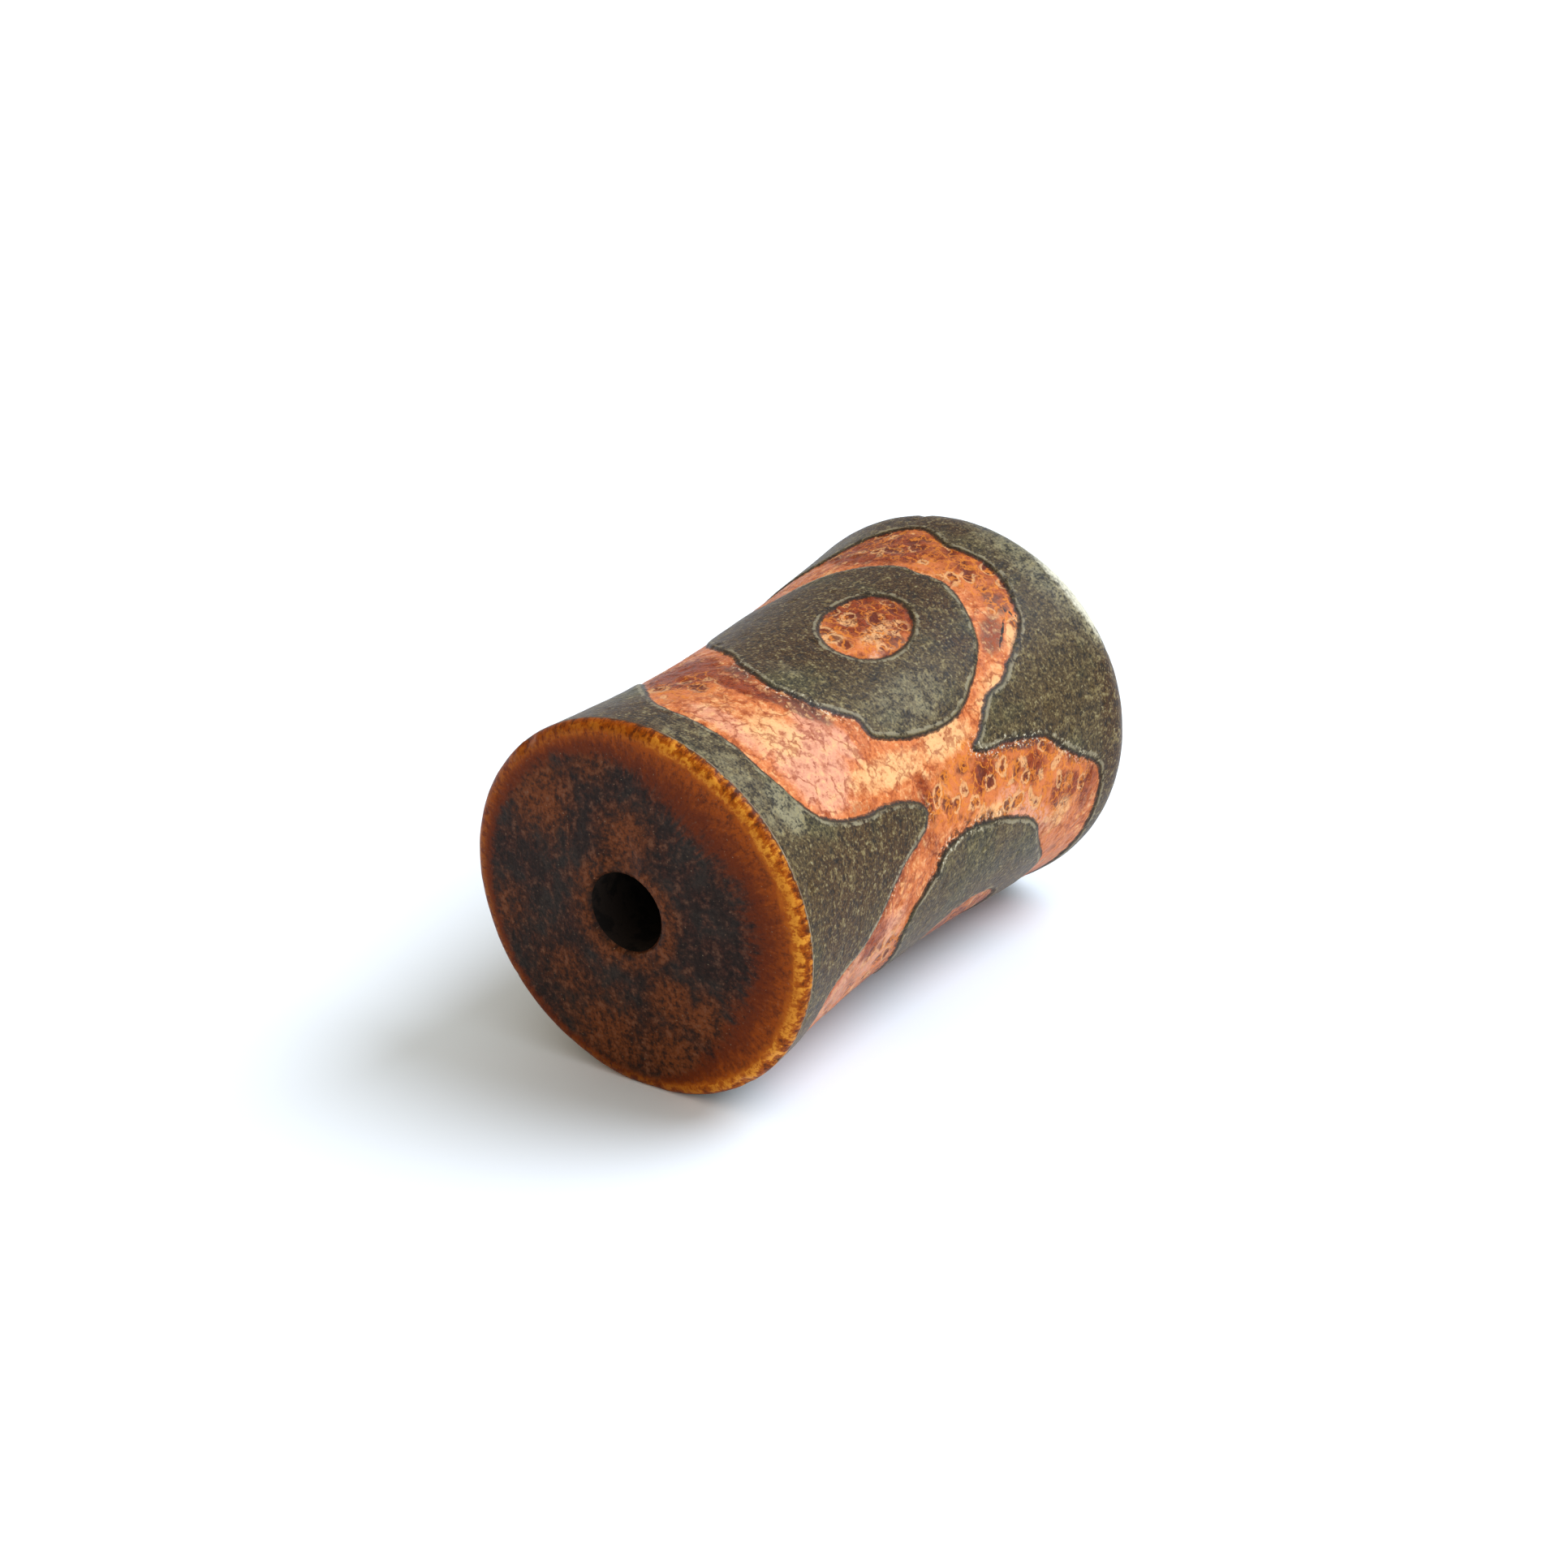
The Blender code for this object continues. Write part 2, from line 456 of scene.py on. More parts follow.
def start_stone(
    name: str, marks: list[str], specks: tuple[Speck, ...]
) -> tuple[bpy.types.Material, bpy.types.NodeTree, Patterns]:
    """Starts a material that reads the stone's own places and numbers.

    Args:
        name: What the material is.
        marks: Names of the numbers kept at the vertices.
        specks: The random patterns that grow over the stone.

    Returns:
        The material, its node tree and every pattern by name, with the places in mm.
    """
    made = bpy.data.materials.new(name)
    made.use_nodes = True
    tree = made.node_tree
    tree.nodes.clear()
    place = add_node(tree, "ShaderNodeAttribute", {"attribute_name": "stone_mm"}, out="Vector")
    patterns = {"place": place}
    for mark in marks:
        patterns[mark] = add_node(tree, "ShaderNodeAttribute", {"attribute_name": mark}, out="Fac")
    for speck in specks:
        inputs = {"Scale": 1.0 / speck.size_mm, "Detail": speck.detail, "Roughness": speck.rough}
        inputs["Vector"] = place
        patterns[speck.name] = add_node(tree, "ShaderNodeTexNoise", {}, inputs)
    return made, tree, patterns


def work_out(tree: bpy.types.NodeTree, share: Share, patterns: Patterns) -> bpy.types.NodeSocket:
    """Works out a share from the patterns.

    Args:
        tree: The node tree that takes its nodes.
        share: What is wanted.
        patterns: The patterns by name.

    Returns:
        The share's value.
    """
    value: Any = share.start
    for name, weight in share.weights.items():
        value = add_node(tree, "ShaderNodeMath", ADD_UP, {0: patterns[name], 1: weight, 2: value})
    if share.fold:
        value = add_node(tree, "ShaderNodeMath", {"operation": "ABSOLUTE"}, {0: value})
    levels = {"From Min": share.low, "From Max": share.high, "To Max": share.top}
    value = add_node(tree, "ShaderNodeMapRange", SOFT, {"Value": value, **levels})
    for name in share.only:
        inputs = {0: value, 1: patterns[name]}
        value = add_node(tree, "ShaderNodeMath", {"operation": "MULTIPLY"}, inputs)
    return value


def lay_coats(
    tree: bpy.types.NodeTree, surface: Any, coats: tuple[Coat, ...], patterns: Patterns
) -> Any:
    """Lays colours over a surface, each where its share says.

    Args:
        tree: The node tree that takes the nodes.
        surface: The colour under them, or the output that gives it.
        coats: Each colour with its share, in order.
        patterns: The patterns by name.

    Returns:
        The output that gives the colour on top.
    """
    for over, share in coats:
        part = work_out(tree, share, patterns)
        colours = {0: part, 6: surface, 7: linear(over)}
        surface = add_node(tree, "ShaderNodeMix", MIX, colours, 2)
    return surface


@dataclass(frozen=True)
class Polish:
    """How smooth the stone's worn surface is, and how deep its fine roughness."""

    roughness: float
    rough_change: float
    gloss: float
    bump_mm: float
    bump_strength: float
    ior: float = 1.54

    def shade(
        self,
        tree: bpy.types.NodeTree,
        surface: bpy.types.NodeSocket,
        relief: dict[str, float],
        patterns: Patterns,
    ) -> None:
        """Adds the shader over a finished colour.

        Args:
            tree: The node tree that takes it.
            surface: The colour.
            relief: How much each pattern stands up.
            patterns: The patterns by name.
        """
        height: Any = 0.0
        for name, weight in relief.items():
            inputs = {0: patterns[name], 1: weight, 2: height}
            height = add_node(tree, "ShaderNodeMath", ADD_UP, inputs)
        inputs = {"Strength": self.bump_strength, "Distance": self.bump_mm * MM, "Height": height}
        bump = add_node(tree, "ShaderNodeBump", {}, inputs)
        start = self.roughness - self.rough_change / 2
        inputs = {0: patterns["lump"], 1: self.rough_change, 2: start}
        rough = add_node(tree, "ShaderNodeMath", ADD_UP, inputs)
        inputs = {"Base Color": surface, "Roughness": rough, "Normal": bump}
        inputs |= {"IOR": self.ior, "Specular IOR Level": self.gloss}
        shader = add_node(tree, "ShaderNodeBsdfPrincipled", {}, inputs)
        add_node(tree, "ShaderNodeOutputMaterial", {}, {"Surface": shader})


@dataclass(frozen=True)
class EtchedStoneFinish:
    """Etched and weathered agate, ground round, worn, then long buried.

    The olive-brown ground is gritty with a soft sheen. The etched bands are crackled
    into small ringed cells, rust to cream, and lie a little lower behind a dark line.
    """

    ground: str = "#4e3b1e"
    olive: str = "#4c4226"
    # Brown: partly the stone's own brown, partly painted shade where the side turns away from the light.
    brown: str = "#452a0c"
    soot: str = "#181006"
    # The pale ground, partly pale patina and partly painted sheen, and the fine pale grain.
    pale: str = "#8c8161"
    grit: str = "#8a784c"
    # Pale crumbs along the band border, and a painted sheen along the large end's rim, where light
    # glances off the rounded edge.
    pale_crumb_and_rim_sheen: str = "#d6cbb0"
    orange: str = "#c96c33"
    peach: str = "#d68f6c"
    rust: str = "#883201"
    heart: str = "#591b01"
    cream: str = "#e8ac70"
    honey: str = "#d0741c"
    plum: str = "#583024"
    line: str = "#24190f"
    halo: str = "#8f8265"
    # The crackle's web closes every half millimetre, and the longer cracks lie twice as wide.
    vein_mm: float = 0.45
    crack_mm: float = 0.9
    # The veins and cracks are bent by a noise, this fine and this far.
    warp_per_mm: float = 2.2
    warp_detail: float = 3.0
    warp_mm: float = 0.9
    # The pale line lies this far outside the border and the dark one just on it.
    halo_out_mm: float = 0.14
    line_in_mm: float = 0.01
    polish: Polish = Polish(0.40, 0.16, 0.12, 0.05, 0.6)
    # The weathered skin's real grain is finer than 0.05 mm, drawn coarser so that it shows.
    specks: tuple[Speck, ...] = (
        Speck("grain", 0.085, 2.0, 0.6),
        Speck("gritty", 0.16, 3.0, 0.65),
        Speck("crumb", 0.34, 3.0, 0.6),
        Speck("lump", 0.75, 4.0, 0.65),
        Speck("cloud", 2.4, 4.0, 0.6),
    )
    # The border wanders a little, and this much comes off for the noises' mean.
    border: dict[str, float] = field(
        default_factory=lambda: {"etch_mm": 1.0, "crumb": 0.20, "gritty": 0.10}
    )
    border_start: float = -0.15

    def shares(self) -> dict[str, Share]:
        """Gives the places that coats are confined to, in the order they are made.

        Returns:
            Each share by its name.
        """
        edge, start = self.border, self.border_start
        return {
            "in_band": Share(edge, -0.02, 0.03, start=start),
            "unbroken": Share({"crumble": 0.25, "lump": 0.6, "crumb": 0.4}, 0.38, 0.50),
            "near_edge": Share(edge, 0.36, 0.12, only=("crumble",), start=start - 0.05, fold=True),
            "edge_zone": Share(edge, 0.62, 0.12, only=("rusty_edge",), start=start),
            "rusty": Share({"rust": 0.8, "lump": 1.0}, 0.60, 1.00),
            "celled": Share({"cells": 1.0, "lump": 0.9}, 0.62, 1.05),
            "plain": Share({"cells": 0.8, "rust": 0.5}, 0.6, 0.1),
            "own_cell": Share({"cell_tint": 1.0}, 0.25, 0.65),
            "patchy": Share({"lump": 1.0}, 0.38, 0.52),
            "halo_kept": Share({"lump": 0.5, "crumb": 0.5}, 0.43, 0.55),
        }

    def ground_coats(self) -> tuple[Coat, ...]:
        """Gives the colours of the unetched ground.

        Returns:
            Its coats, from the broad to the fine.
        """
        fine = {"grain": 0.5, "gritty": 0.5}
        return (
            (self.olive, Share({"cloud": 1.0}, 0.52, 0.36)),
            # Brown ground: partly the stone's own brown, partly painted shade where the side turns away
            # from the light.
            (self.brown, Share({"brown_ground_and_shade": 0.6, "cloud": 0.8, "lump": 0.3}, 0.56, 1.0)),
            (self.grit, Share({"lump": 0.6, "crumb": 0.4}, 0.52, 0.72, 0.45)),
            # Pale patches: partly pale patina, partly painted sheen along the side that faces the light.
            (self.pale, Share({"pale_ground_and_sheen": 0.7, "crumb": 0.6, "lump": 0.5}, 0.75, 1.35)),
            (self.soot, Share({"crumb": 0.7, "lump": 0.3}, 0.50, 0.36, 0.6)),
            (self.grit, Share({"crumb": 0.5, "gritty": 0.5}, 0.53, 0.68, 0.55)),
            (self.soot, Share(fine, 0.53, 0.36, 0.85)),
            (self.grit, Share(fine, 0.51, 0.68, 0.65)),
            (self.pale, Share({"grain": 0.6, "gritty": 0.4}, 0.59, 0.70, 0.9)),
            # Painted sheen along the large end's rim, where light glances off the rounded edge, broken
            # by grit.
            (self.pale_crumb_and_rim_sheen, Share({"pale_crumb_and_rim_sheen": 0.9, "gritty": 0.9, "crumb": 0.5}, 0.98, 1.65, 0.95)),
        )

    def band_coats(self) -> tuple[Coat, ...]:
        """Gives the colours of the etched bands.

        Returns:
            Their coats, from the broad to the fine.
        """
        fine = {"grain": 0.45, "gritty": 0.55}
        middling = {"crumb": 0.6, "gritty": 0.4}
        ring = {"cell_middle": 1.0, "gritty": 0.35, "crumb": 0.45}
        web = {"vein": 1.0, "crumb": 0.35, "gritty": 0.15}
        return (
            (self.peach, Share({"peach": 0.8, "lump": 0.8, "crumb": 0.4}, 0.85, 1.30)),
            (self.rust, Share({"rust": 0.8, "lump": 0.7, "crumb": 0.5}, 0.72, 1.10)),
            (self.cream, Share({"cream": 0.7, "lump": 0.7, "crumb": 0.8}, 0.90, 1.55, 0.9)),
            (self.rust, Share({"crumb": 0.6, "lump": 0.4}, 0.36, 0.58, 0.9, ("edge_zone",))),
            (self.plum, Share({"plum": 0.8, "crumb": 1.0, "gritty": 0.4}, 0.95, 1.45, 0.85)),
            (self.rust, Share({"lump": 0.7, "crumb": 0.5}, 0.58, 0.42, 0.45)),
            (self.cream, Share({"lump": 0.7, "crumb": 0.5}, 0.62, 0.78, 0.5, ("plain",))),
            (self.rust, Share(middling, 0.50, 0.34, 0.45)),
            (self.cream, Share(middling, 0.50, 0.68, 0.6, ("plain",))),
            (self.heart, Share({"cell_middle": 1.0, "crumb": 0.8}, 1.02, 0.60, 0.88, ("celled",))),
            (self.honey, Share(web, 0.36, 0.27, 0.8, ("celled",))),
            (self.cream, Share(ring, 0.10, 0.03, 0.6, ("celled", "own_cell"), -0.80, True)),
            (self.rust, Share({"rift": 1.0, "gritty": 0.12}, 0.15, 0.07, 0.65, ("plain", "patchy"))),
            (self.line, Share({"crack": 0.8, "gritty": 0.4}, 0.5, 0.8)),
            (self.rust, Share(fine, 0.47, 0.32, 0.5)),
            (self.heart, Share(fine, 0.53, 0.38, 0.85, ("rusty",))),
            (self.honey, Share(fine, 0.55, 0.70, 0.35, ("rusty",))),
            (self.cream, Share(fine, 0.55, 0.70, 0.55, ("plain",))),
        )

    def border_coats(self) -> tuple[Coat, ...]:
        """Gives the dark line along the bands, the pale one outside it and the crumbs.

        Returns:
            Their coats, in the order they are laid.
        """
        edge = self.border
        halo_start = self.border_start + self.halo_out_mm
        line_start = self.border_start - self.line_in_mm
        fine = {"grain": 0.5, "gritty": 0.5}
        return (
            (self.halo, Share(edge, 0.08, 0.03, 0.7, ("halo_kept",), halo_start, True)),
            (self.line, Share({"crumb": 0.5, "gritty": 0.5}, 0.52, 0.42, 0.85, ("near_edge",))),
            (self.pale_crumb_and_rim_sheen, Share(fine, 0.54, 0.62, 0.85, ("near_edge",))),
            (self.line, Share(edge, 0.08, 0.03, 0.85, ("unbroken",), line_start, True)),
        )

    def material(self) -> bpy.types.Material:
        """Builds the node material, which reads the stone's own attributes.

        Returns:
            The finished material.
        """
        # Etched agate, worn and buried: matt gritty skin, weak sheen, colour that breaks into cells.
        marks = ["etch_mm", "cell_middle", "cell_tint"] + [tone.value for tone in Tone]
        made, tree, patterns = start_stone("etched_weathered_agate", marks, self.specks)
        place = patterns["place"]
        inputs = {"Vector": place, "Scale": self.warp_per_mm, "Detail": self.warp_detail}
        warp = add_node(tree, "ShaderNodeTexNoise", {}, inputs, "Color")
        inputs = {0: warp, 1: (self.warp_mm,) * 3, 2: place}
        bent = add_node(tree, "ShaderNodeVectorMath", ADD_UP, inputs)
        for name, size in (("vein", self.vein_mm), ("rift", self.crack_mm)):
            inputs = {"Vector": bent, "Scale": 1.0 / size}
            settings = {"feature": "DISTANCE_TO_EDGE"}
            patterns[name] = add_node(tree, "ShaderNodeTexVoronoi", settings, inputs)
        for name, share in self.shares().items():
            patterns[name] = work_out(tree, share, patterns)
        ground = lay_coats(tree, linear(self.ground), self.ground_coats(), patterns)
        band = lay_coats(tree, linear(self.orange), self.band_coats(), patterns)
        parts = {0: patterns["in_band"], 6: ground, 7: band}
        surface = add_node(tree, "ShaderNodeMix", MIX, parts, 2)
        surface = lay_coats(tree, surface, self.border_coats(), patterns)
        relief = {"grain": 0.5, "gritty": 0.6, "crumb": 0.5}
        self.polish.shade(tree, surface, relief, patterns)
        return made


@dataclass(frozen=True)
class WornEndFinish:
    """The stone's end, cut across the banding and smoothed by wear.

    It is dark brown, mottled with rust, and the amber light through its rim is painted on as a glow.
    """

    dark: str = "#281a15"
    grey: str = "#302823"
    purple: str = "#321b17"
    rust: str = "#55290f"
    bright_rust: str = "#7e3f18"
    soot: str = "#140c0a"
    dust: str = "#6a5040"
    fleck: str = "#9a866c"
    # red_brown, amber, glow_line and honey mostly paint the glow of light through the rim; pale_edge is
    # a painted highlight on the rim's rounding.
    red_brown: str = "#622401"
    amber: str = "#964303"
    glow_line: str = "#ab550a"
    honey: str = "#e0942f"
    edge: str = "#43240d"
    pale_edge: str = "#a8967a"
    line_in_mm: float = 0.42
    # Streaks run from the rim inwards, about 0.1 mm wide and 0.5 mm long.
    streak_turns: float = 5.5
    streak_inward: float = 0.8
    streak_scale: float = 2.9
    streak_detail: float = 4.0
    streak_rough: float = 0.7
    polish: Polish = Polish(0.40, 0.25, 0.07, 0.05, 0.5)
    # The mottling is real at this size, and the finest grain is drawn coarser than it is.
    specks: tuple[Speck, ...] = (
        Speck("grain", 0.085, 2.0, 0.6),
        Speck("gritty", 0.15, 3.0, 0.65),
        Speck("crumb", 0.3, 3.0, 0.65),
        Speck("lump", 0.6, 4.0, 0.65),
        Speck("cloud", 1.6, 4.0, 0.6),
    )

    def shares(self) -> dict[str, Share]:
        """Gives the places that coats are confined to, in the order they are made.

        Returns:
            Each share by its name.
        """
        return {
            "glowing": Share({"glow": 1.0, "streak": 0.8}, 0.75, 1.15),
            "lit": Share({"honey": 1.0, "crumb": 0.6}, 0.30, 0.90),
            "kept": Share({"streak": 0.4, "crumb": 0.3, "lump": 0.3}, 0.44, 0.57),
            "streaked": Share({"streak": 0.3, "crumb": 0.7}, 0.56, 0.44),
        }

    def coats(self) -> tuple[Coat, ...]:
        """Gives the colours of an end.

        Returns:
            The face's coats, from the broad to the fine, and then the rim's.
        """
        fine = {"grain": 0.5, "gritty": 0.5}
        glow = {"glow": 1.0, "streak": 0.8, "lump": 0.5}
        line = {"rim_mm": 1.0, "streak": 0.3, "crumb": 0.35, "lump": 0.5}
        streaks = {"glow": 0.8, "streak": 0.8, "gritty": 0.4}
        # Half of the noises' weights comes off, so that the line wanders about its place.
        offset = -self.line_in_mm - sum(list(line.values())[1:]) / 2
        return (
            (self.grey, Share({"cloud": 1.0}, 0.44, 0.60, 0.9)),
            (self.purple, Share({"lump": 1.0}, 0.44, 0.62, 0.8)),
            (self.rust, Share({"end_rust": 0.6, "lump": 0.9, "crumb": 0.3}, 0.55, 1.08, 0.9)),
            (self.bright_rust, Share({"end_rust": 0.35, "crumb": 0.6, "lump": 0.6}, 0.74, 1.04, 0.65)),
            (self.dust, Share({"crumb": 0.7, "lump": 0.3}, 0.52, 0.68, 0.35)),
            (self.soot, Share({"crumb": 0.6, "gritty": 0.4}, 0.54, 0.34, 0.6)),
            # The red-brown and amber glow, the glow line, the honey and the pale edge below paint the
            # light that comes through the rim; the soot, dust and flecks are the stone's own.
            (self.red_brown, Share(glow, 0.50, 0.95, 0.95)),
            (self.amber, Share(glow, 0.90, 1.45, 0.95)),
            (self.soot, Share({"streak": 0.7, "gritty": 0.3}, 0.52, 0.40, 0.65, ("glowing",))),
            (self.amber, Share({"streak": 0.6, "gritty": 0.4}, 0.54, 0.64, 0.7, ("glowing",))),
            (self.soot, Share(fine, 0.48, 0.34, 0.40)),
            (self.dust, Share(fine, 0.54, 0.70, 0.35)),
            (self.fleck, Share({"grain": 1.0}, 0.68, 0.78, 0.6)),
            (self.glow_line, Share(line, 0.24, 0.03, 0.9, ("lit",), offset, True)),
            (self.honey, Share(line, 0.11, 0.03, 0.95, ("honey", "kept"), offset, True)),
            (self.honey, Share(streaks, 1.30, 1.50, 0.8, ("honey",))),
            (self.red_brown, Share({"rim_mm": 1.0, "crumb": 0.3}, 0.40, 0.26, 0.55, ("streaked",))),
            (self.edge, Share({"rim_mm": 1.0, "crumb": 0.4}, 0.32, 0.22, 0.9)),
            (self.pale_edge, Share({"rim_mm": 1.0, "gritty": 0.1}, 0.10, 0.05, 0.7, ("honey",))),
        )

    def material(self) -> bpy.types.Material:
        """Builds the node material for both ends.

        Returns:
            The finished material.
        """
        # Agate cut across and polished by wear: dark, faintly glossy, with a painted amber glow at the
        # rim.
        marks = ["rim_mm", "glow", "honey", "end_rust"]
        made, tree, patterns = start_stone("worn_translucent_agate_end", marks, self.specks)
        kind, times = "ShaderNodeVectorMath", {"operation": "MULTIPLY"}
        across = add_node(tree, kind, times, {0: patterns["place"], 1: (0.0, 1.0, 1.0)})
        outward = add_node(tree, kind, {"operation": "NORMALIZE"}, {0: across})
        slow = (0.0, self.streak_inward, self.streak_inward)
        inward = add_node(tree, kind, times, {0: across, 1: slow})
        turns = (self.streak_turns,) * 3
        streaky = add_node(tree, kind, ADD_UP, {0: outward, 1: turns, 2: inward})
        inputs = {
            "Vector": streaky,
            "Scale": self.streak_scale,
            "Detail": self.streak_detail,
            "Roughness": self.streak_rough,
        }
        patterns["streak"] = add_node(tree, "ShaderNodeTexNoise", {}, inputs)
        for name, share in self.shares().items():
            patterns[name] = work_out(tree, share, patterns)
        surface = lay_coats(tree, linear(self.dark), self.coats(), patterns)
        self.polish.shade(tree, surface, {"grain": 0.4, "gritty": 0.4, "lump": 0.8}, patterns)
        return made


@dataclass(frozen=True)
class BoreFinish:
    """The drilled wall, painted dark as the deep hole's shade, so that the hole reads nearly black."""

    wall: str = "#211914"
    # A darker painted shade, laid in soft lumps over the wall.
    painted_hole_shade: str = "#0d0a08"
    painted_hole_shade_share: Share = Share({"lump": 1.0}, 0.55, 0.40, 0.8)
    painted_hole_shade_lumps: Speck = Speck("lump", 0.5, 3.0, 0.6)
    polish: Polish = Polish(0.85, 0.2, 0.1, 0.04, 0.5, 1.5)

    def material(self) -> bpy.types.Material:
        """Builds the bore's material, whose darker painted shade lies in soft crumbs of half a
        millimetre.

        Returns:
            The finished material.
        """
        # Drilled agate painted dark as the shade inside the hole: dull, with no gloss in the hole.
        made, tree, patterns = start_stone("drilled_agate_painted_dark", [], (self.painted_hole_shade_lumps,))
        coats = ((self.painted_hole_shade, self.painted_hole_shade_share),)
        surface = lay_coats(tree, linear(self.wall), coats, patterns)
        self.polish.shade(tree, surface, {"lump": 1.0}, patterns)
        return made


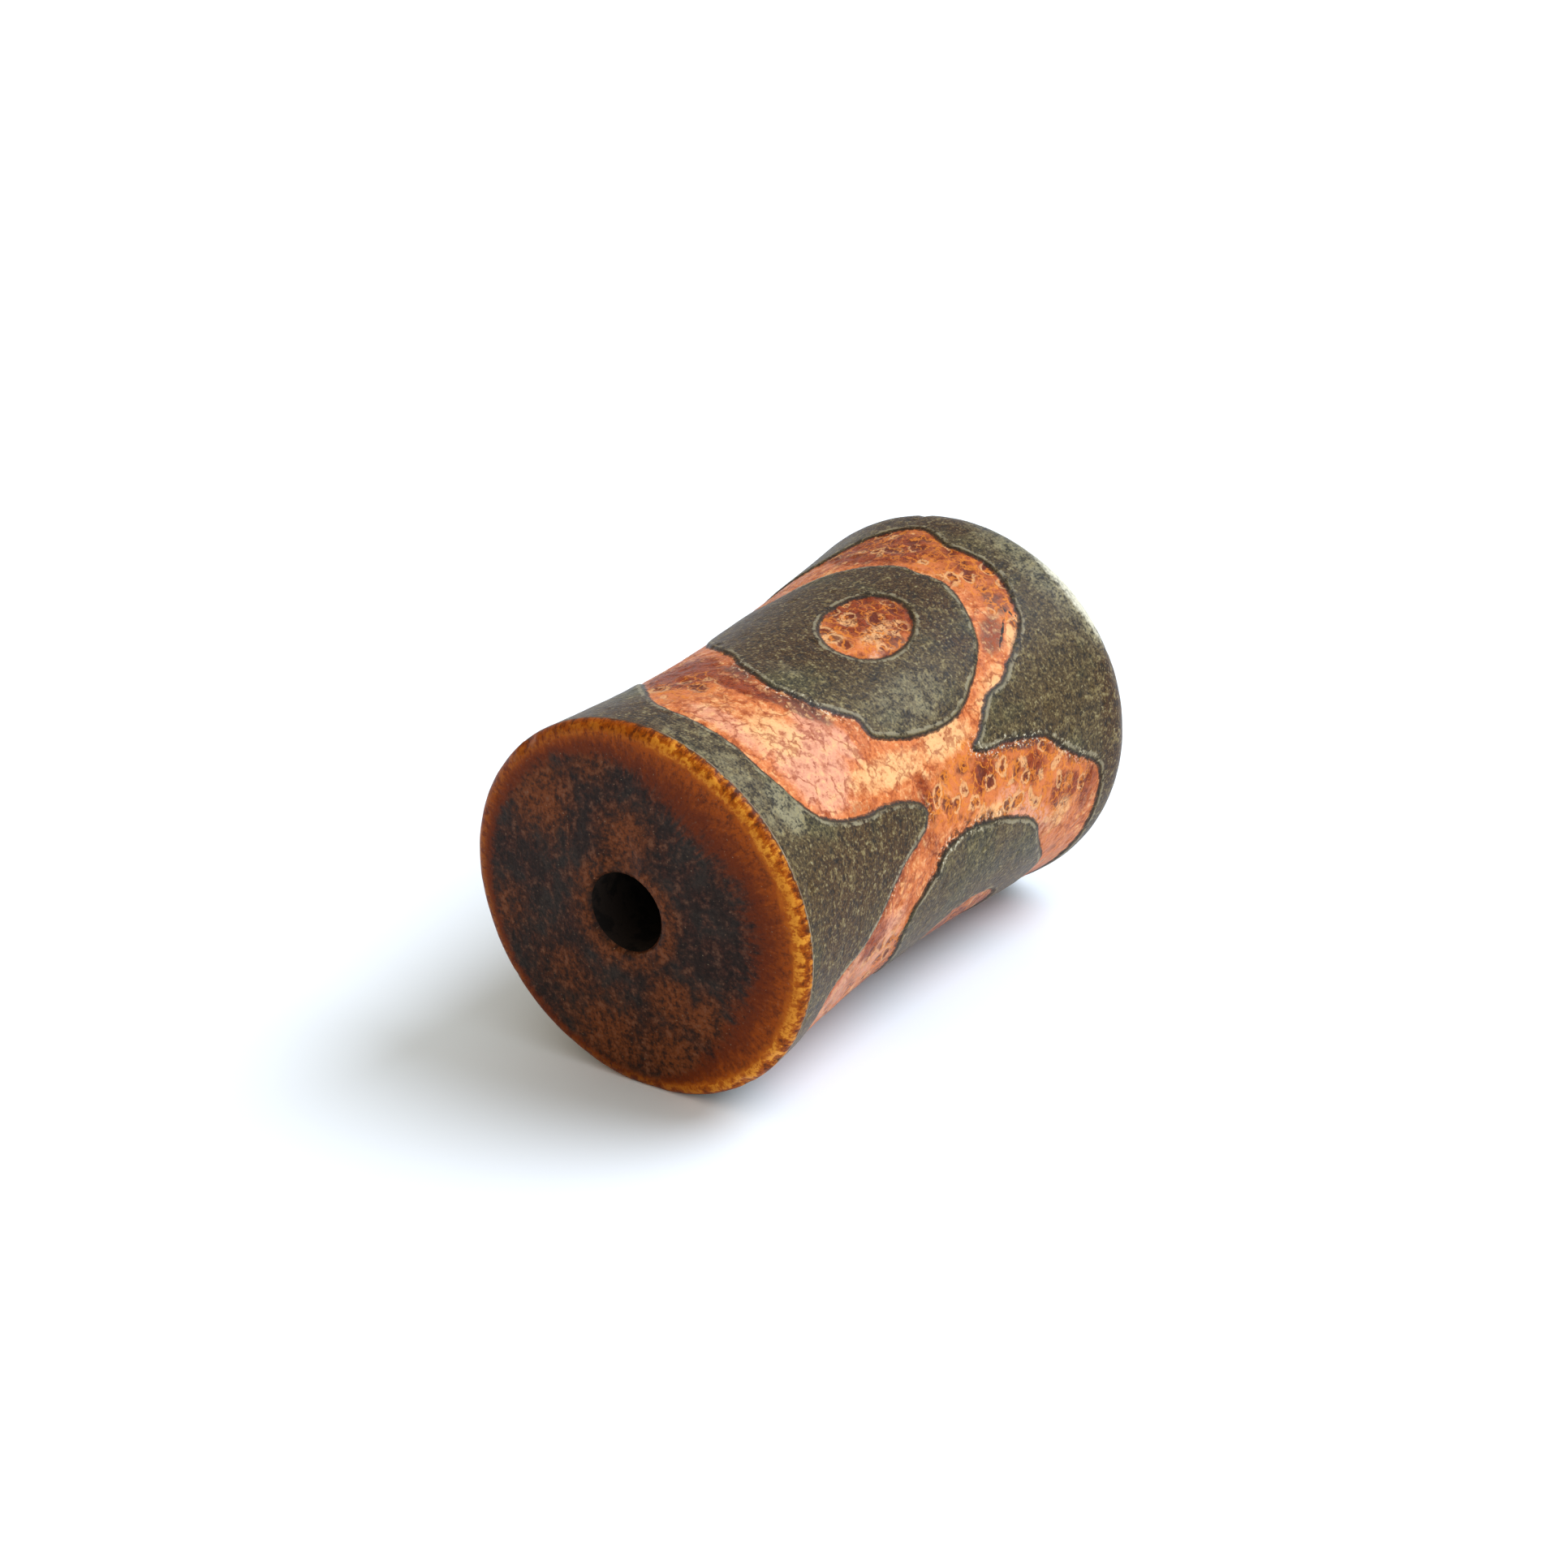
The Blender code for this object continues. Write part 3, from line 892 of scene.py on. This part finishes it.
@dataclass
class EtchedBead:
    """The one piece: the drilled stone with its relief, tones and finishes."""

    form: StoneForm = field(default_factory=StoneForm)
    drawing: EtchedDrawing = field(default_factory=EtchedDrawing)
    turn_steps: int = 380
    side_steps: int = 165
    small_arc_steps: int = 6
    large_arc_steps: int = 16
    small_face_steps: int = 22
    large_face_steps: int = 16
    bore_steps: int = 10
    # Points of the turned outline nearer than this are one point, in mm.
    same_point_mm: float = 0.001
    # Relief starts this far outside the bore's wall, and etching only between these places.
    relief_from_bore: float = 0.5
    etched_from: float = 0.3
    etched_to: float = 18.5
    # The etched bands lie this much lower, over this slope, with a groove just inside it.
    etch_depth: float = 0.07
    etch_slope: Point = (-0.08, 0.10)
    groove_depth: float = 0.03
    groove_in: float = 0.03
    groove_width: float = 0.07
    cell_depth: float = 0.02
    cell_size: float = 0.66
    cell_bend: float = 0.24
    cell_bend_per_mm: float = 1.5
    # A cell sinks towards its middle and rises at its wall, both in cells.
    cell_hollow: Point = (0.45, 0.15)
    cell_ridge: Point = (0.25, 0.05)
    # What draws each cell's own number, and what lays the cells the same way each time.
    cell_dice: tuple[float, float, float] = (12.9, 78.2, 37.7)
    cell_seed: int = 7
    # The stone's broad waves and small dents: size along the surface and depth, in mm.
    waves: tuple[tuple[float, float], ...] = ((1.7, 0.016), (0.42, 0.007))
    pit_size: float = 0.6
    pit_depth: float = 0.16
    pit_level: float = 0.5
    pit_shift: tuple[float, float, float] = (7.0, 3.0, 5.0)
    # The face follows the bore's shift up to this far short of the waist's radius.
    bore_shift_fade: float = 0.4
    # The large end's finish goes this far onto its rounded rim.
    end_past_rim: float = 0.3
    slot_slack: float = 0.01
    # How deep in from the rim's colour each end starts, and the large end's share of the glow.
    rim_past_face: float = 0.42
    large_rim_start: float = 0.12
    large_glow_share: float = 0.6
    # The rusty ring round the bore's mouth.
    mouth_rust_r: float = 1.6
    mouth_rust_width: float = 0.4
    mouth_rust: float = 0.7
    # The amber rim's painted glow, widest on the lit side: degrees from the top, how deep it glows in
    # mm, and its bright line.
    rim_light: tuple[tuple[float, float, float], ...] = (
        (-180.0, 0.6, 0.2), (-140.0, 0.6, 0.0), (-100.0, 0.7, 0.15), (-60.0, 0.9, 0.1),
        (-30.0, 1.0, 0.15), (-8.0, 1.2, 0.2), (5.0, 1.6, 0.1), (17.0, 2.0, 0.8),
        (30.0, 2.3, 0.7), (45.0, 2.3, 0.6), (58.0, 2.0, 1.0), (70.0, 1.9, 0.6), (85.0, 1.9, 1.0),
        (105.0, 1.9, 0.7), (122.0, 2.0, 1.0), (145.0, 1.6, 0.9), (165.0, 0.9, 0.4),
    )
    # Rusty clouds on the ends: degrees from the top, mm from the axis, size and strength.
    end_rust: tuple[tuple[float, float, float, float], ...] = (
        (3.0, 2.5, 0.9, 1.0), (-45.0, 4.4, 1.3, 1.0), (-15.0, 5.0, 0.9, 0.8), (150.0, 3.0, 1.0, 0.9),
        (140.0, 3.8, 0.9, 1.0), (165.0, 4.6, 1.2, 1.0), (-165.0, 4.6, 1.6, 0.9), (-135.0, 3.6, 1.2, 0.6),
        (-100.0, 5.0, 1.0, 0.6), (60.0, 4.9, 0.9, 0.5), (120.0, 4.6, 0.8, 0.5),
    )
    # Areas of each tone: degrees and mm to the middle, half sizes across and along in mm,
    # then, where it needs them, the turn in degrees and the strength.
    tones: dict[Tone, tuple[Area, ...]] = field(
        default_factory=lambda: {
            Tone.CREAM: (
                (29.0, 3.5, 1.3, 1.0, 0.0, 0.85), (57.5, 6.4, 0.6, 2.2, 8.0), (59.5, 9.4, 0.6, 1.5),
                (53.5, 12.4, 0.40, 1.5, -22.0, 0.65), (44.9, 14.8, 0.34, 0.75, -31.0, 1.3),
                (89.0, 10.9, 0.32, 1.3, 9.0), (9.0, 3.3, 1.0, 0.5, 0.0, 0.5),
                (104.0, 14.9, 0.6, 0.7, 0.0, 0.8), (91.0, 6.3, 0.4, 1.1, -30.0, 0.4),
                (12.0, 9.2, 0.45, 0.4, 0.0, 0.9), (75.0, 8.3, 0.6, 0.5, 0.0, 0.5),
                (20.0, 10.4, 0.40, 1.0, 0.0, 0.8),
            ),
            Tone.PEACH: (
                (44.0, 3.8, 1.8, 1.5), (20.0, 2.6, 2.2, 0.6, 0.0, 0.7),
                (38.0, 5.2, 1.4, 0.6, -20.0, 0.9), (112.0, 4.0, 1.2, 2.6, -26.0),
                (26.0, 9.6, 0.22, 0.6, 0.0, 0.8), (100.0, 13.2, 0.6, 1.8, 34.0, 0.9),
                (88.0, 12.0, 0.5, 1.4, 19.0, 0.6), (132.0, 11.0, 1.8, 2.5, 0.0, 0.8),
            ),
            Tone.RUST: (
                (-14.0, 4.9, 1.2, 1.7, -40.0), (8.0, 4.7, 1.3, 0.4, 0.0, 0.9),
                (75.5, 10.6, 0.6, 0.8, 0.0, 0.7), (12.0, 15.8, 3.2, 0.6, 0.0, 0.4),
                (-10.0, 15.4, 1.8, 1.3, 0.0, 0.85), (96.0, 14.9, 0.6, 0.8, 0.0, 0.9),
                (83.0, 13.2, 0.6, 0.8, 15.0, 0.6), (12.0, 10.9, 1.3, 1.3),
                (101.0, 16.4, 1.0, 0.6, 0.0, 0.5), (105.0, 4.3, 0.5, 0.9, -30.0, 0.6),
                (86.0, 7.4, 0.6, 0.6, -30.0, 0.4), (14.0, 11.6, 1.3, 0.8),
                # The large oval at 162 degrees is painted shade on the hidden underside, which also dims
                # the orange light it throws on the floor.
                (162.0, 9.0, 4.0, 9.0, 0.0, 0.9), (70.0, 7.6, 0.8, 0.4, 0.0, 0.6),
            ),
            Tone.PLUM: (
                (41.0, 14.0, 0.50, 1.0, -31.0, 0.85), (34.0, 15.2, 0.6, 0.5, -20.0, 0.8),
                (26.0, 5.2, 1.4, 0.4, -22.0), (116.0, 3.4, 1.0, 2.0, -26.0, 0.45),
                # The large oval at 162 degrees is painted shade on the hidden underside, which also dims
                # the orange light it throws on the floor.
                (134.0, 10.9, 1.6, 2.4, 6.0, 0.5), (162.0, 9.0, 4.0, 9.0, 0.0, 0.8),
                (26.0, 10.6, 0.4, 0.5, 0.0, 0.8), (2.0, 5.4, 0.8, 0.35, 22.0),
                (28.5, 9.9, 0.2, 0.8, 0.0, 0.8), (73.5, 12.8, 0.25, 1.4, 14.0, 0.9),
                (14.0, 12.2, 1.0, 0.3, 0.0, 0.7), (62.5, 4.6, 0.3, 1.0, 12.0, 0.5),
            ),
            Tone.CELLS: (
                (84.0, 12.4, 1.8, 4.0, 19.0), (76.0, 9.0, 1.0, 1.8, 0.0, 0.8),
                (10.0, 15.8, 4.5, 1.2), (15.0, 10.3, 1.6, 2.0, 0.0, 0.7),
                (-6.0, 3.6, 1.2, 1.4, 0.0, 0.7), (135.0, 9.0, 3.5, 8.0, 0.0, 0.8),
            ),
            Tone.RUSTY_EDGE: (
                (10.0, 5.6, 3.4, 1.2), (38.0, 6.2, 1.0, 0.7, 0.0, 0.6),
                (79.0, 6.9, 1.4, 0.7, 0.0, 0.9), (92.0, 5.4, 1.2, 2.6, -35.0),
                (110.0, 3.0, 1.6, 2.0, -30.0, 0.6), (74.0, 12.6, 0.8, 2.2, 14.0, 0.9),
                (14.0, 16.4, 4.4, 0.7, 0.0, 0.9), (84.0, 15.2, 1.0, 1.2, 30.0, 0.8),
            ),
            Tone.CRACK: (
                (42.6, 14.4, 0.055, 0.80, -33.0), (39.0, 15.3, 0.05, 0.4, 60.0, 0.9),
            ),
            Tone.CRUMBLE: (
                (72.5, 12.3, 0.45, 1.8, 14.0), (85.0, 15.4, 0.4, 1.4, 33.0, 0.8),
                (67.5, 10.6, 0.5, 0.5), (26.0, 5.5, 2.2, 0.4, -22.0, 0.8),
                (3.0, 5.7, 0.8, 0.4, 24.0, 0.8), (91.5, 8.2, 0.5, 1.4, -40.0, 0.9),
                (88.0, 10.3, 0.4, 1.4, 5.0, 0.9), (91.0, 5.0, 0.35, 1.6, -38.0, 0.6),
                (74.0, 7.6, 0.8, 0.3, 0.0, 0.6),
            ),
            # Pale ground: partly pale patina, partly painted sheen where light glances off the side at
            # about 40 to 50 degrees and along the large end's rim.
            Tone.PALE_GROUND_AND_SHEEN: (
                (49.0, 1.5, 1.0, 0.7, 0.0, 0.85), (38.0, 0.8, 2.4, 0.7, 0.0, 0.6),
                (22.0, 1.0, 3.2, 0.8, 0.0, 0.55), (43.0, 9.0, 1.2, 2.2, 0.0, 0.6),
                (12.0, 6.5, 0.9, 0.5, 0.0, 0.5), (36.0, 18.0, 3.4, 1.1, 0.0, 0.7),
                (44.0, 18.6, 2.4, 0.8),
            ),
            # Painted sheen along the large end's upper rim, where light glances off the rounded edge.
            Tone.RIM_SHEEN: (
                (44.0, 18.45, 2.0, 0.60, 0.0, 0.85),
            ),
            # Brown ground: partly the stone's own brown, partly painted shade where the side turns away
            # from the light.
            Tone.BROWN_GROUND_AND_SHADE: (
                (-20.0, 9.0, 2.4, 3.6), (0.0, 9.0, 2.6, 3.6, 0.0, 0.9),
                (-4.0, 1.0, 2.6, 1.2, 0.0, 0.7), (30.0, 12.6, 2.2, 0.9, 0.0, 0.6),
                (10.0, 13.3, 2.6, 0.9), (-15.0, 1.2, 2.5, 1.2, 0.0, 0.5), (-15.0, 17.8, 3.4, 0.9),
                (76.0, 4.0, 1.8, 3.2, 0.0, 0.5), (84.0, 18.0, 2.6, 1.0, 0.0, 0.8),
                (100.0, 2.0, 2.6, 1.6, 0.0, 0.5),
            ),
        }
    )

    def rail(self) -> list[Point]:
        """Draws the closed half outline: out of the bore, over the side and back in.

        Returns:
            Places along and away from the bore.
        """
        form = self.form
        small_arc = form.rim_arc(End.SMALL, self.small_arc_steps)
        large_arc = form.rim_arc(End.LARGE, self.large_arc_steps)
        mouth_r = form.bore_r + form.mouth_bevel
        points = [(form.mouth_bevel, form.bore_r), (0.0, mouth_r)]
        for step in range(1, self.small_face_steps):
            share = step / self.small_face_steps
            points.append((0.0, mouth_r + (small_arc[0][1] - mouth_r) * share))
        points += small_arc
        start, stop = small_arc[-1][0], large_arc[0][0]
        for step in range(1, self.side_steps):
            x = start + (stop - start) * step / self.side_steps
            points.append((x, form.side_radius(x)))
        points += large_arc
        for step in range(1, self.large_face_steps):
            share = step / self.large_face_steps
            points.append((form.length, large_arc[-1][1] + (mouth_r - large_arc[-1][1]) * share))
        points += [(form.length, mouth_r), (form.length - form.mouth_bevel, form.bore_r)]
        reach = form.length - 2 * form.mouth_bevel
        for step in range(1, self.bore_steps):
            x = form.length - form.mouth_bevel - reach * step / self.bore_steps
            points.append((x, form.bore_r))
        return points

    def turn_stone(self) -> bpy.types.Object:
        """Draws the half outline point by point and spins it about the bore.

        Returns:
            The turned stone, in its own frame.
        """
        rail = [Vector((x, 0.0, r)) * MM for x, r in self.rail()]
        bpy.ops.object.select_all(action="DESELECT")
        bpy.ops.mesh.primitive_plane_add(size=MM)
        stone = bpy.context.active_object
        stone.name = stone.data.name = "etched_bead"
        bpy.ops.object.mode_set(mode="EDIT")
        bpy.ops.mesh.merge(type="CENTER")
        bpy.ops.transform.translate(value=rail[0])
        for before, after in zip(rail, rail[1:]):
            bpy.ops.mesh.extrude_region_move(TRANSFORM_OT_translate={"value": after - before})
        bpy.ops.object.mode_set(mode="OBJECT")
        for vertex in stone.data.vertices:
            gaps = [(vertex.co - tip).length for tip in (rail[0], rail[-1])]
            vertex.select = min(gaps) < self.same_point_mm * MM
        bpy.ops.object.mode_set(mode="EDIT")
        bpy.ops.mesh.edge_face_add()
        bpy.ops.mesh.select_all(action="SELECT")
        bpy.ops.mesh.spin(steps=self.turn_steps, angle=math.tau, center=(0, 0, 0), axis=(1, 0, 0))
        bpy.ops.mesh.select_all(action="SELECT")
        bpy.ops.mesh.remove_doubles(threshold=self.same_point_mm * MM)
        bpy.ops.mesh.normals_make_consistent(inside=False)
        bpy.ops.object.mode_set(mode="OBJECT")
        return stone

    def build(self) -> bpy.types.Object:
        """Makes the bead, with its relief, tones and finishes, in its place.

        Returns:
            The finished piece.
        """
        stone = self.turn_stone()
        mesh = stone.data
        spots = read(mesh.vertices, "co", 3) / MM
        normals = read(mesh.vertex_normals, "vector", 3)
        along = spots[:, 0]
        radius = np.hypot(spots[:, 1], spots[:, 2])
        around = np.degrees(np.arctan2(-spots[:, 1], spots[:, 2]))
        held = mesh.attributes.new("stone_mm", "FLOAT_VECTOR", "POINT")
        held.data.foreach_set("vector", spots.ravel())
        places = self.drawing.flat(around, along)
        for tone, areas in self.tones.items():
            self.keep(mesh, tone.value, self.drawing.weight(places, areas))
        self.tint_ends(mesh, along, radius, around)
        etch = self.drawing.etched(places)
        middle, wall, tint = self.crackle(spots)
        for name, values in (("etch_mm", etch), ("cell_middle", middle), ("cell_tint", tint)):
            self.keep(mesh, name, values)
        spots = spots - normals * self.relief(spots, radius, etch, middle, wall)[:, None]
        self.shift_bore(spots, radius)
        for centre, ball_r in self.form.chips():
            self.bite(spots, normals, centre, ball_r)
        self.lay_down(stone, spots)
        self.dress(stone, along, radius)
        bpy.ops.object.select_all(action="DESELECT")
        stone.select_set(True)
        bpy.context.view_layer.objects.active = stone
        bpy.ops.object.shade_smooth()
        return stone

    def relief(
        self,
        spots: np.ndarray,
        radius: np.ndarray,
        etch: np.ndarray,
        middle: np.ndarray,
        wall: np.ndarray,
    ) -> np.ndarray:
        """Works out the fine relief: the etching, its groove, the cells and the wear.

        Args:
            spots: Places in millimetres.
            radius: Millimetres from the axis, for each.
            etch: Millimetres inside the etched bands.
            middle: Distance from the cell's middle, in cells.
            wall: Distance from the cell's wall, in cells.

        Returns:
            How far each place sinks, in millimetres.
        """
        along = spots[:, 0]
        outside = radius > self.form.bore_r + self.relief_from_bore
        on_side = outside & (along > self.etched_from) & (along < self.etched_to)
        etched = soft_step(*self.etch_slope, etch)
        depth = self.etch_depth * etched
        depth += self.groove_depth * np.exp(-(((etch - self.groove_in) / self.groove_width) ** 2))
        hollow = soft_step(*self.cell_hollow, middle) - soft_step(*self.cell_ridge, wall)
        depth = (depth + self.cell_depth * etched * hollow) * on_side
        return depth + self.unevenness(spots) * outside

    def crackle(self, spots: np.ndarray) -> tuple[np.ndarray, np.ndarray, np.ndarray]:
        """Lays small irregular cells over the stone.

        Args:
            spots: Places in millimetres.

        Returns:
            For each place its distance from its cell's middle and from the cell's wall,
            in cells, and a number from 0 to 1 that is the cell's own.
        """
        noise.seed_set(self.cell_seed)
        middle, wall, tint = (np.empty(len(spots)) for _ in range(3))
        for index, spot in enumerate(spots):
            place = Vector(spot)
            sway = noise.noise_vector(place * self.cell_bend_per_mm)
            far, points = noise.voronoi((place + sway * self.cell_bend) / self.cell_size)
            middle[index], wall[index] = far[0], far[1] - far[0]
            tint[index] = math.sin(points[0].dot(Vector(self.cell_dice))) * 0.5 + 0.5
        return middle, wall, tint

    def unevenness(self, spots: np.ndarray) -> np.ndarray:
        """Works out the stone's wear: broad waves, small dents and a few pits.

        Args:
            spots: Places in millimetres.

        Returns:
            How far each sinks, in millimetres.
        """
        depth = np.empty(len(spots))
        for index, spot in enumerate(spots):
            place = Vector(spot)
            depth[index] = sum(deep * noise.noise(place / size) for size, deep in self.waves)
            pit = noise.noise(place / self.pit_size + Vector(self.pit_shift)) - self.pit_level
            depth[index] += self.pit_depth * max(0.0, pit)
        return depth

    def bite(
        self, spots: np.ndarray, normals: np.ndarray, centre: Vector, ball_r: float
    ) -> None:
        """Presses the vertices inside a ball down onto it, which leaves a shallow chip.

        Args:
            spots: Places in millimetres, changed in place.
            normals: The surface's direction at each.
            centre: The ball's middle.
            ball_r: The ball's radius.
        """
        gap = spots - np.array(centre)
        rest = ball_r**2 - (gap**2).sum(1)
        inside = rest > 0.0
        away = (gap[inside] * normals[inside]).sum(1)
        down = away + np.sqrt(away**2 + rest[inside])
        spots[inside] -= normals[inside] * down[:, None]

    def keep(self, mesh: bpy.types.Mesh, name: str, values: np.ndarray) -> None:
        """Stores one number at each vertex, for the finishes to read."""
        held = mesh.attributes.new(name, "FLOAT", "POINT")
        held.data.foreach_set("value", values)

    def tint_ends(
        self, mesh: bpy.types.Mesh, along: np.ndarray, radius: np.ndarray, around: np.ndarray
    ) -> None:
        """Stores how far in from its rim each place on an end is, the painted amber glow and the rust.

        Args:
            mesh: The stone's mesh.
            along: Millimetres from the small end, for each vertex.
            radius: Millimetres from the axis.
            around: Degrees about the axis, from the top.
        """
        form = self.form
        small = along < form.length / 2
        past_face = np.clip(along / form.small_rounding_r, 0.0, 1.0)
        flat_r = np.where(small, form.rim_round(End.SMALL)[1].y, form.rim_round(End.LARGE)[1].y)
        rim = np.maximum(flat_r - radius, 0.0)
        rim += np.where(small, self.rim_past_face * (1.0 - past_face), self.large_rim_start)
        turns, widths, lines = np.array(self.rim_light).T
        share = np.where(small, 1.0, self.large_glow_share)
        glow = 1.0 - rim / (share * np.interp(around, turns, widths, period=360.0))
        from_mouth = (radius - self.mouth_rust_r) / self.mouth_rust_width
        rust = self.mouth_rust * np.exp(-(from_mouth**2))
        for turn, middle_r, size, strength in self.end_rust:
            turned = np.radians((around - turn + 180.0) % 360.0 - 180.0)
            gap = np.hypot(turned * middle_r, radius - middle_r)
            rust = np.maximum(rust, strength * np.exp(-((gap / size) ** 2)))
        self.keep(mesh, "rim_mm", rim)
        # The glow, and the bright line kept as honey, are painted light coming through the rim.
        self.keep(mesh, "glow", np.maximum(glow, -1.0))
        self.keep(mesh, "honey", share**2 * np.interp(around, turns, lines, period=360.0))
        self.keep(mesh, "end_rust", rust)

    def shift_bore(self, spots: np.ndarray, radius: np.ndarray) -> None:
        """Moves the bore beside the axis, and the face around it by less and less.

        Args:
            spots: Places in millimetres, changed in place.
            radius: Millimetres from the axis, for each.
        """
        form = self.form
        still_r = form.waist_r - self.bore_shift_fade
        share = 1.0 - soft_step(form.bore_r + form.mouth_bevel, still_r, radius)
        spots[:, 1] += share * form.bore_aside
        spots[:, 2] -= share * form.bore_low

    def lay_down(self, stone: bpy.types.Object, spots: np.ndarray) -> None:
        """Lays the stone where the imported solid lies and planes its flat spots.

        Args:
            stone: The stone.
            spots: Its vertices' places in its own frame, in millimetres.
        """
        mounts = {mount["name"]: mount for mount in frame["record"]["mounts"]}
        face = mounts["small_end_face"]
        forward = -Vector(face["axis"])
        tilt = math.atan2(forward.z, forward.x)
        turn = Matrix.Rotation(-tilt, 3, "Y")
        start = Vector(face["pos_m"])
        start.y = 0.0
        placed = spots * MM @ np.array(turn).T + np.array(start)
        placed[:, 2] = np.maximum(placed[:, 2], 0.0)
        stone.data.vertices.foreach_set("co", placed.ravel())
        stone.data.update()

    def dress(self, stone: bpy.types.Object, along: np.ndarray, radius: np.ndarray) -> None:
        """Gives the side, the ends and the bore their finishes.

        Args:
            stone: The stone.
            along: Millimetres from the small end, for each vertex.
            radius: Millimetres from the axis.
        """
        mesh = stone.data
        for finish in (EtchedStoneFinish(), WornEndFinish(), BoreFinish()):
            mesh.materials.append(finish.material())
        small_arc = self.form.rim_arc(End.SMALL, self.small_arc_steps)
        large_arc = self.form.rim_arc(End.LARGE, self.large_arc_steps)
        corners = read(mesh.loops, "vertex_index", kind=int)
        starts = read(mesh.polygons, "loop_start", kind=int)
        low = np.minimum.reduceat(along[corners], starts)
        high = np.maximum.reduceat(along[corners], starts)
        inner = np.minimum.reduceat(radius[corners], starts)
        outer = np.maximum.reduceat(radius[corners], starts)
        slots = np.zeros(len(mesh.polygons), dtype=int)
        on_small = high <= small_arc[-1][0] + 1e-4
        on_large = (low > self.etched_to) & (inner < large_arc[-1][1] + self.end_past_rim)
        slots[on_small | on_large] = 1
        slots[outer < self.form.bore_r + self.slot_slack] = 2
        mesh.polygons.foreach_set("material_index", slots)


@dataclass(frozen=True)
class Studio:
    """Plain pale floor, soft light from the upper right and behind, and the camera."""

    camera_mm: tuple[float, float, float] = (-61.19, -40.48, 37.88)
    aim_mm: tuple[float, float, float] = (-0.54, 0.78, 6.49)
    roll_deg: float = -1.17
    lens_mm: float = 57.35
    floor_half_mm: float = 3000.0
    floor_colour: str = "#f4f3f1"
    floor_roughness: float = 0.9
    key_from: tuple[float, float, float] = (0.396, -0.507, 0.766)
    key_far_mm: float = 200.0
    key_strength: float = 3.1
    key_angle_deg: float = 36.0
    key_colour: str = "#e0ecff"
    sky_near_colour: str = "#e4f3ff"
    sky_far_colour: str = "#a29783"
    sky_strength: float = 1.3
    sky_blend: float = 0.7
    nearest_mm: float = 1.0

    def build(self) -> bpy.types.Object:
        """Adds the floor, the lights, the sky and the camera.

        Returns:
            The floor.
        """
        self.hang_lights()
        self.set_camera()
        return self.lay_floor()

    def lay_floor(self) -> bpy.types.Object:
        """Lays the pale floor under the bead.

        Returns:
            The floor.
        """
        bpy.ops.object.select_all(action="DESELECT")
        bpy.ops.mesh.primitive_plane_add(size=2 * self.floor_half_mm * MM)
        floor = bpy.context.active_object
        floor.name = "pale_floor"
        # Matt pale board: even and without gloss, so that only the bead's shadow marks it.
        material = bpy.data.materials.new("matt_pale_board")
        material.use_nodes = True
        shader = material.node_tree.nodes["Principled BSDF"]
        shader.inputs["Base Color"].default_value = linear(self.floor_colour)
        shader.inputs["Roughness"].default_value = self.floor_roughness
        floor.data.materials.append(material)
        return floor

    def hang_lights(self) -> None:
        """Hangs the broad cool key light and lights the sky."""
        place = Vector(self.key_from) * self.key_far_mm * MM
        bpy.ops.object.light_add(type="SUN", location=place)
        lamp = bpy.context.active_object
        lamp.name = "key_light"
        lamp.data.energy = self.key_strength
        lamp.data.angle = math.radians(self.key_angle_deg)
        lamp.data.color = linear(self.key_colour)[:3]
        lamp.rotation_euler = Vector(self.key_from).to_track_quat("Z", "Y").to_euler()
        world = bpy.data.worlds.new("pale_studio")
        world.use_nodes = True
        tree = world.node_tree
        tree.nodes.clear()
        way = add_node(tree, "ShaderNodeTexCoord", out="Generated")
        inputs = {0: way, 1: Vector((*self.key_from[:2], 0.0)).normalized()}
        dot = {"operation": "DOT_PRODUCT"}
        lit_side = add_node(tree, "ShaderNodeVectorMath", dot, inputs, "Value")
        inputs = {"Value": lit_side, "From Min": -self.sky_blend, "From Max": self.sky_blend}
        share = add_node(tree, "ShaderNodeMapRange", SOFT, inputs)
        ends = {6: linear(self.sky_far_colour), 7: linear(self.sky_near_colour)}
        colour = add_node(tree, "ShaderNodeMix", MIX, {0: share, **ends}, 2)
        inputs = {"Color": colour, "Strength": self.sky_strength}
        sky = add_node(tree, "ShaderNodeBackground", {}, inputs)
        add_node(tree, "ShaderNodeOutputWorld", {}, {"Surface": sky})
        bpy.context.scene.world = world
        bpy.context.scene.view_settings.view_transform = "Standard"

    def set_camera(self) -> None:
        """Sets the camera at the photograph's viewing angle."""
        place, aim = Vector(self.camera_mm) * MM, Vector(self.aim_mm) * MM
        data = bpy.data.cameras.new("photo_view")
        data.lens = self.lens_mm
        data.clip_start = self.nearest_mm * MM
        camera = bpy.data.objects.new("photo_view", data)
        bpy.context.collection.objects.link(camera)
        look = (aim - place).to_track_quat("-Z", "Y").to_matrix()
        look = look @ Matrix.Rotation(math.radians(self.roll_deg), 3, "Z")
        camera.matrix_world = Matrix.Translation(place) @ look.to_4x4()
        bpy.context.scene.camera = camera


def report(piece: bpy.types.Object) -> None:
    """Says which piece is finished and how large its mesh is."""
    LOG.info("%s: %d vertices, %d faces", piece.name, len(piece.data.vertices), len(piece.data.polygons))


def main() -> None:
    """Builds the bead and its studio."""
    logging.basicConfig(level=logging.INFO, format="%(message)s")
    bead = EtchedBead().build()
    report(bead)
    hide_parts("bead")
    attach(bead, "root")
    report(Studio().build())


if __name__ == "__main__":
    main()
